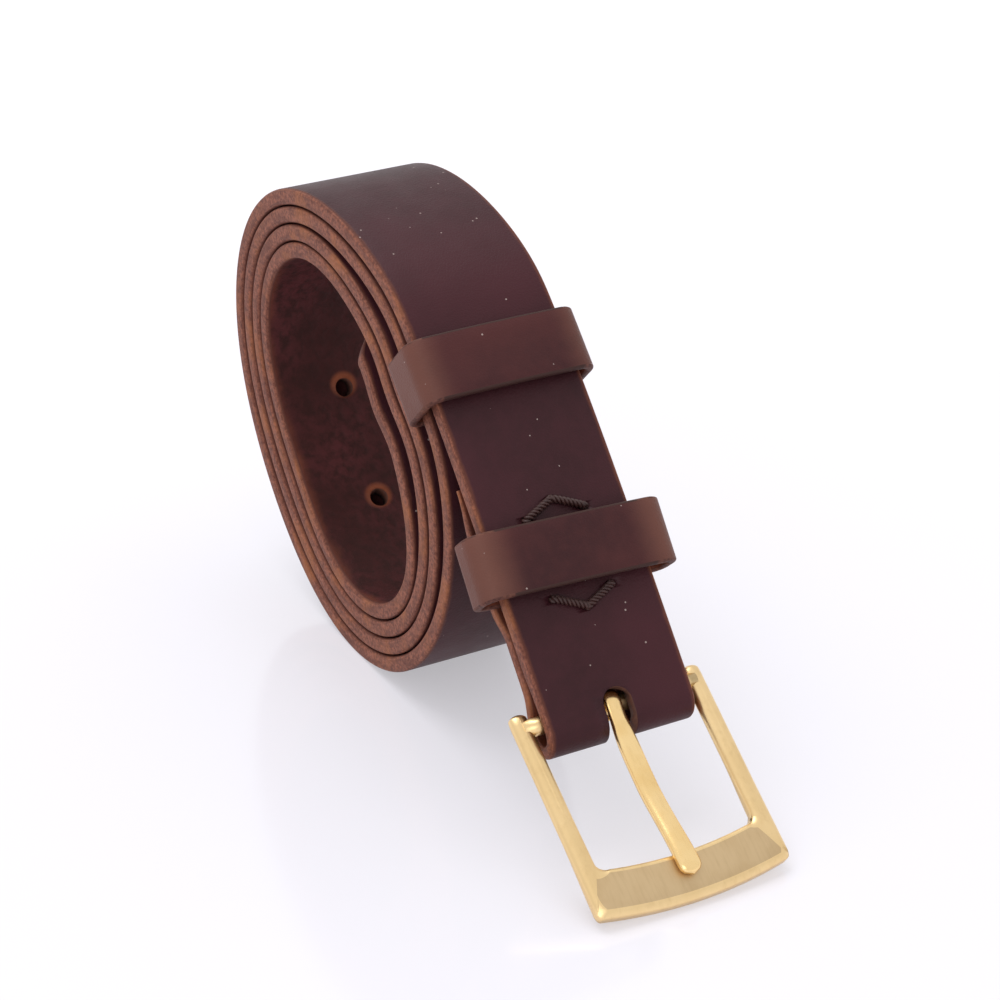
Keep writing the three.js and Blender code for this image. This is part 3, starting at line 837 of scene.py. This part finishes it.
def make_frame(material, face):
    outer, inner, front = frame_edges()
    rings = []

    def ring(k, shift, scale):
        width = np.linalg.norm(outer[k] - inner[k])
        made = []
        for share, h in frame_section(width, front[k], scale):
            u, y = mix(outer[k], inner[k], share)
            made.append(on_buckle(u - shift, y, h))
        return made

    last = len(outer) - 1
    for a in np.linspace(math.pi / 2, 0, 6)[:-1]:
        rings.append(ring(0, 1.3 * math.sin(a) - 0.6, max(0.12, math.cos(a) ** 0.8)))
    rings.extend(ring(k, 0.0, 1.0) for k in range(1, last))
    for a in np.linspace(0, math.pi / 2, 6)[1:]:
        rings.append(ring(last, 1.3 * math.sin(a) - 0.6, max(0.12, math.cos(a) ** 0.8)))
    vertices, faces = loft(rings)
    count = len(rings[0])
    kinds = []
    for i in range(len(faces) - 2):
        station, place = min(i // count, last), i % count
        kinds.append(1 if front[station] > 0.6 and 7 <= place < 12 else 0)
    obj = outward(make_object("buckle_frame_cast", vertices, faces, [material, face], kinds + [0, 0]))
    ends = BUCKLE_HALF_WIDTH - ARM_WIDTH / 2
    bar_rings = []
    for y in np.linspace(-ends, ends, 9):
        circle = np.linspace(0, 2 * math.pi, 25)[:-1]
        bar_rings.append([on_buckle(BAR_RADIUS * math.cos(a), y, BAR_RADIUS * math.sin(a)) for a in circle])
    vertices, faces = loft(bar_rings)
    bar = outward(make_object("buckle_bar", vertices, faces, [material]))
    return obj, bar


def prong_line():
    """Middle line of the prong in the buckle's own plane: (down, out) points."""
    r = BAR_RADIUS + 0.25 + PRONG_CURL_WALL / 2
    rest = FRAME_THICKNESS / 2 + 0.35 + 0.95
    turns = np.linspace(math.radians(-30), math.radians(-290), 30)
    curl = [(r * math.cos(a), r * math.sin(a)) for a in turns]
    start = np.array(curl[-1])
    heading = np.array([math.cos(math.radians(-20)), math.sin(math.radians(-20))])
    a, d = start, np.array([17.0, 0.55])
    b, c = start + heading * 5, d - np.array([5.0, -0.1])
    first = [tuple(cubic(a, b, c, d, t)) for t in np.linspace(0, 1, 22)[1:]]
    a, d = d, np.array([PRONG_REACH - 0.6, rest - 0.15])
    b, c = a + np.array([6.0, -0.1]), d - np.array([6.5, -0.35])
    second = [tuple(cubic(a, b, c, d, t)) for t in np.linspace(0, 1, 30)[1:]]
    return np.array(curl + first + second)


def make_prong(material):
    line = prong_line()
    tangents = np.gradient(line, axis=0)
    steps = np.linalg.norm(np.diff(line, axis=0), axis=1)
    along = np.concatenate([[0], np.cumsum(steps)])
    total = along[-1]
    rings = []
    for p, tangent, s in zip(line, tangents, along):
        tangent = unit(tangent)
        normal = left_of(tangent)
        left = total - s
        end = math.sqrt(max(0.0, 1 - (1 - min(1.0, left / 2.2)) ** 2))
        begin = math.sqrt(max(0.0, 1 - (1 - min(1.0, (s + 0.1) / 0.8)) ** 2))
        shrink = max(0.06, end * begin)
        half_w = PRONG_WIDTH / 2 * (0.8 + 0.2 * smooth(s, 12, 22) + 0.1 * smooth(s, 36, total)) * shrink
        half_t = mix(0.55, 1.15, smooth(s, 10, 20)) * max(0.25, shrink)
        ring = []
        for k in range(20):
            a = 2 * math.pi * k / 20
            c, n = math.cos(a), math.sin(a)
            y = half_w * math.copysign(abs(c) ** 0.8, c)
            h = half_t * math.copysign(abs(n) ** 0.8, n)
            q = p + normal * h
            ring.append(on_buckle(q[0], PRONG_OFFSET + y, q[1]))
        rings.append(ring)
    vertices, faces = loft(rings)
    return outward(make_object("prong_tongue", vertices, faces, [material]))


# ---- build ------------------------------------------------------------------------------------
STATIONS = strap_stations()
first_hole = STATIONS[2][-1] - TIP_TO_HOLE - (HOLES - 1) * HOLE_PITCH

rim_zone = (STRAP_WIDTH / 2 - 0.9, STRAP_WIDTH / 2 + 0.4)
grain = grain_leather("strap_grain", "#2e1116", "#3f1a21", "#6f3e2c", *rim_zone, 1.0)
edge = cut_edge("strap_edge", "#9a5f4a", "#552c22", "#a06034", "#54291f")
flesh = flesh_leather("strap_flesh", first_hole)
hole_wall = raw_hole("strap_hole_wall")
# painted highlight: the keepers' grain is made paler from 11.5 to 20 mm off their middle, towards their
# bends, where the light catches them
keeper_highlight_zone = (11.5, 20.0)
keeper_grain = grain_leather("keeper_grain", "#341518", "#4a2222", "#7d5244", *keeper_highlight_zone, 0.5)
keeper_edge = cut_edge("keeper_edge", "#70453a", "#3c1f1b", "#7a4a34", "#38201c")
thread = waxed_thread("lacing_wax")
cast_strokes = (500, 900, 500)
face_strokes = (160, 1500, 160)
prong_strokes = (300, 1200, 300)
brass_frame = brushed_brass("brass_frame", cast_strokes, "#ecce9b", "#e6c793", "#b08f5e", 0.25)
brass_face = brushed_brass("brass_front_face", face_strokes, "#cdb38c", "#c5aa82", "#9c8460", 0.4)
brass_prong = brushed_brass("brass_prong", prong_strokes, "#f6d69c", "#efcb8c", "#c09a62", 0.18)

strap = make_strap([grain, edge, flesh, hole_wall])
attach(strap, "strap")
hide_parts("strap")

below_strap = -STRAP_THICKNESS - CLEARANCE - KEEPER_THICKNESS
keeper_sides = [keeper_grain, keeper_edge, flesh]
fixed_size = (FIXED_KEEPER_HALF_WIDTH, FIXED_KEEPER_TOP, below_strap)
fixed = make_keeper("fixed_keeper_band", keeper_sides, FIXED_KEEPER_AT, *fixed_size, KEEPER_SKEW)
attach(fixed, "strap")
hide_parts("fixed_keeper")

below_two = -(2 * STRAP_THICKNESS + LEAN_GAP + CLEARANCE + KEEPER_THICKNESS)
free_size = (FREE_KEEPER_HALF_WIDTH, FREE_KEEPER_TOP, below_two)
free = make_keeper("free_keeper_band", keeper_sides, FREE_KEEPER_AT, *free_size, 0.0)
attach(free, "free_keeper")
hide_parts("free_keeper")

lacing = make_lacing(thread)
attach(lacing, "strap")
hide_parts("lacing")

cast, bar = make_frame(brass_frame, brass_face)
for piece in (cast, bar):
    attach(piece, "buckle")
    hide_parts("buckle_frame")

tongue = make_prong(brass_prong)
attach(tongue, "prong")
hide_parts("prong")


# ---- stage ------------------------------------------------------------------------------------
def make_floor():
    s = Shader("floor_white")
    near = s.node("ShaderNodeVectorMath", {0: s.place}, operation="LENGTH").outputs["Value"]
    # painted shade: the floor is darker near the middle, where the strap and buckle stand, and paler
    # further out
    tone = s.blend(s.ramp(near, 0.10, 0.9), (0.44, 0.43, 0.47, 1.0), (0.56, 0.56, 0.57, 1.0))
    # painted light: the floor glows by emission though it is no lamp; the glow lifts the shadows on it and
    # lights the strap and buckle from below
    s.surface(tone, 0.12, None, Specular_IOR_Level=0.4, Emission_Strength=0.42)
    s.bsdf.inputs["Emission Color"].default_value = (0.97, 0.96, 1.0, 1.0)
    size = FLOOR_HALF_SIZE
    corners = [(-size, -size, 0), (size, -size, 0), (size, size, 0), (-size, size, 0)]
    floor = make_object("floor", corners, [(0, 1, 2, 3)], [s.material])


def make_light(name, place, target, size, power):
    data = bpy.data.lights.new(name, "AREA")
    data.shape = "RECTANGLE"
    data.size, data.size_y = size
    data.energy = power
    light = bpy.data.objects.new(name, data)
    light.location = place
    way = Vector(target) - Vector(place)
    light.rotation_euler = way.to_track_quat("-Z", "Y").to_euler()
    bpy.context.scene.collection.objects.link(light)


def make_world():
    world = bpy.data.worlds.new("studio")
    world.use_nodes = True
    background = world.node_tree.nodes["Background"]
    background.inputs[0].default_value = (1.0, 1.0, 1.0, 1.0)
    background.inputs[1].default_value = 0.95
    bpy.context.scene.world = world


def make_camera():
    data = bpy.data.cameras.new("camera")
    data.sensor_width = 36.0
    data.lens = CAMERA_LENS
    data.clip_start = 0.01
    data.clip_end = 50.0
    data.dof.use_dof = False
    camera = bpy.data.objects.new("camera", data)
    azimuth, elevation = math.radians(CAMERA_AZIMUTH), math.radians(CAMERA_ELEVATION)
    level = math.cos(elevation)
    back = Vector((math.sin(azimuth) * level, -math.cos(azimuth) * level, math.sin(elevation)))
    right = Vector((math.cos(azimuth), math.sin(azimuth), 0.0))
    roll = Matrix.Rotation(math.radians(CAMERA_ROLL), 3, back)
    right = roll @ right
    up = back.cross(right)
    rows = Matrix((right, up, back)).transposed().to_4x4()
    rows.translation = Vector(CAMERA_PLACE) * MM
    camera.matrix_world = rows
    bpy.context.scene.collection.objects.link(camera)
    bpy.context.scene.camera = camera


make_floor()
make_world()
make_light("key", (-0.5, -0.2, 1.3), (0.03, 0, 0.04), (1.0, 1.0), 9)
make_light("front_soft", (1.1, -0.9, 0.7), (0.05, 0, 0.03), (0.8, 0.8), 3)
make_camera()
bpy.context.scene.view_settings.view_transform = "Standard"
